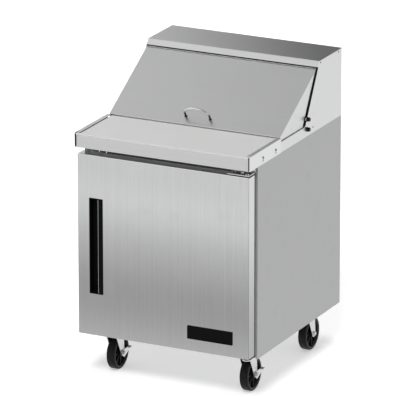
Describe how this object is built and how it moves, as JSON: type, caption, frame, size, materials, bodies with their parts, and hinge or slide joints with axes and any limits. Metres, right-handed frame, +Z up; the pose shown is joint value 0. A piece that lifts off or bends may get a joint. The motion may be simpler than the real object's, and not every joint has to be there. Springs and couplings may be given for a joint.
{
  "type": "sandwich prep table",
  "caption": "Refrigerated stainless prep table on braked casters: insulated door, hinged hood lid over food pans, cutting board shelf and a rear machine bay.",
  "frame": {"origin": "on the floor under the middle of the plan", "axes": "+X to the right of a user in front of the door, +Y to the rear, +Z up"},
  "size_m": [0.7164, 0.7834, 1.144],
  "materials": {
    "stainless": "brushed stainless sheet",
    "pan_steel": "bright drawn stainless",
    "galvanised": "galvanised sheet",
    "liner_aluminium": "satin sheet",
    "foam": "rigid foam",
    "grille_paint": "satin black paint",
    "coil_aluminium": "finned",
    "black_plastic": "satin moulding",
    "white_coat": "epoxy coat",
    "bright_steel": "polished",
    "zinc_steel": "zinc plated",
    "seal_rubber": "matt",
    "board_plastic": "matt polyethylene",
    "wheel_rubber": "moulded black polyurethane"
  },
  "bodies": {
    "cabinet": {"side_panel_left": "stainless", "side_panel_right": "stainless", "back_panel": "galvanised", "base_panel": "galvanised", "front_frame": "stainless", "inner_liner": "liner_aluminium", "cabinet_insulation": "foam", "bay_panel": "galvanised", "rear_grille": "grille_paint", "compressor": "grille_paint", "condenser_coil": "coil_aluminium", "condenser_shroud": "galvanised", "drain_pan": "black_plastic", "evaporator_coil": "coil_aluminium", "evaporator_cover": "white_coat", "counter_top": "stainless", "pan_divider_bars": "stainless", "front_pans": "pan_steel", "rear_pans": "pan_steel", "board_tray": "stainless", "case_screws": "bright_steel", "hood_shell": "stainless", "hood_liner": "liner_aluminium", "hood_insulation": "foam", "hood_seal": "seal_rubber", "hood_thumb_screws": "black_plastic", "hood_hinge_leaves": "bright_steel", "lid_hinge_pin": "bright_steel", "lid_bumpers": "seal_rubber", "door_hinge_brackets": "bright_steel", "shelf_pilasters": "galvanised", "shelf_clips": "bright_steel", "wire_shelf": "white_coat", "caster_plates": "zinc_steel"},
    "lid": {"lid_skin": "stainless", "lid_liner": "liner_aluminium", "lid_insulation": "foam", "lid_handle": "bright_steel", "lid_hinge_leaves": "bright_steel"},
    "door": {"door_skin": "stainless", "door_liner": "liner_aluminium", "door_insulation": "foam", "door_seal": "seal_rubber", "door_handle": "black_plastic", "door_plate": "black_plastic", "door_bushes": "black_plastic"},
    "board": {"cutting_board": "board_plastic"},
    "condenser_rotor": {"condenser_fan": "black_plastic"},
    "evaporator_rotor": {"evaporator_fan": "black_plastic"},
    "thermostat": {"thermostat_knob": "black_plastic"},
    "caster_front_left": {"fork_front_left": "zinc_steel"},
    "wheel_front_left": {"wheel_front_left": "wheel_rubber"},
    "caster_front_right": {"fork_front_right": "zinc_steel"},
    "wheel_front_right": {"wheel_front_right": "wheel_rubber"},
    "caster_rear_left": {"fork_rear_left": "zinc_steel"},
    "wheel_rear_left": {"wheel_rear_left": "wheel_rubber"},
    "caster_rear_right": {"fork_rear_right": "zinc_steel"},
    "wheel_rear_right": {"wheel_rear_right": "wheel_rubber"},
    "brake_left": {"brake_left": "zinc_steel"},
    "brake_right": {"brake_right": "zinc_steel"}
  },
  "joints": [
    {"name": "door_hinge", "type": "hinge", "parent": "cabinet", "child": "door", "pos_m": [0.32495, -0.3608, 0.5199], "axis": [0, 0, 1], "range_deg": [0, 110]},
    {"name": "lid_hinge", "type": "hinge", "parent": "cabinet", "child": "lid", "pos_m": [0, 0.17663, 1.11789], "axis": [-1, 0, 0], "range_deg": [0, 130]},
    {"name": "board_lift", "type": "slide", "parent": "cabinet", "child": "board", "axis": [0, 0, 1], "range_m": [0, 0.08]},
    {"name": "condenser_fan_spin", "type": "hinge", "parent": "cabinet", "child": "condenser_rotor", "pos_m": [-0.15, 0.3177, 0.2934], "axis": [0, 1, 0], "continuous": true},
    {"name": "evaporator_fan_spin", "type": "hinge", "parent": "cabinet", "child": "evaporator_rotor", "pos_m": [0, 0.2557, 0.6224], "axis": [0, 1, 0], "continuous": true},
    {"name": "thermostat_turn", "type": "hinge", "parent": "cabinet", "child": "thermostat", "pos_m": [0.165, 0.2557, 0.7034], "axis": [0, 1, 0], "range_deg": [0, 270]},
    {"name": "swivel_front_left", "type": "hinge", "parent": "cabinet", "child": "caster_front_left", "pos_m": [-0.27, -0.245, 0.161], "axis": [0, 0, 1], "continuous": true},
    {"name": "roll_front_left", "type": "hinge", "parent": "caster_front_left", "child": "wheel_front_left", "pos_m": [-0.27, -0.215, 0.0635], "axis": [1, 0, 0], "continuous": true},
    {"name": "swivel_front_right", "type": "hinge", "parent": "cabinet", "child": "caster_front_right", "pos_m": [0.27, -0.245, 0.161], "axis": [0, 0, 1], "continuous": true},
    {"name": "roll_front_right", "type": "hinge", "parent": "caster_front_right", "child": "wheel_front_right", "pos_m": [0.27, -0.215, 0.0635], "axis": [1, 0, 0], "continuous": true},
    {"name": "swivel_rear_left", "type": "hinge", "parent": "cabinet", "child": "caster_rear_left", "pos_m": [-0.27, 0.254, 0.161], "axis": [0, 0, 1], "continuous": true},
    {"name": "roll_rear_left", "type": "hinge", "parent": "caster_rear_left", "child": "wheel_rear_left", "pos_m": [-0.27, 0.284, 0.0635], "axis": [1, 0, 0], "continuous": true},
    {"name": "swivel_rear_right", "type": "hinge", "parent": "cabinet", "child": "caster_rear_right", "pos_m": [0.27, 0.254, 0.161], "axis": [0, 0, 1], "continuous": true},
    {"name": "roll_rear_right", "type": "hinge", "parent": "caster_rear_right", "child": "wheel_rear_right", "pos_m": [0.27, 0.284, 0.0635], "axis": [1, 0, 0], "continuous": true},
    {"name": "brake_press_left", "type": "hinge", "parent": "caster_front_left", "child": "brake_left", "pos_m": [-0.27, -0.215, 0.0635], "axis": [-1, 0, 0], "range_deg": [0, 12]},
    {"name": "brake_press_right", "type": "hinge", "parent": "caster_front_right", "child": "brake_right", "pos_m": [0.27, -0.215, 0.0635], "axis": [-1, 0, 0], "range_deg": [0, 12]}
  ]
}
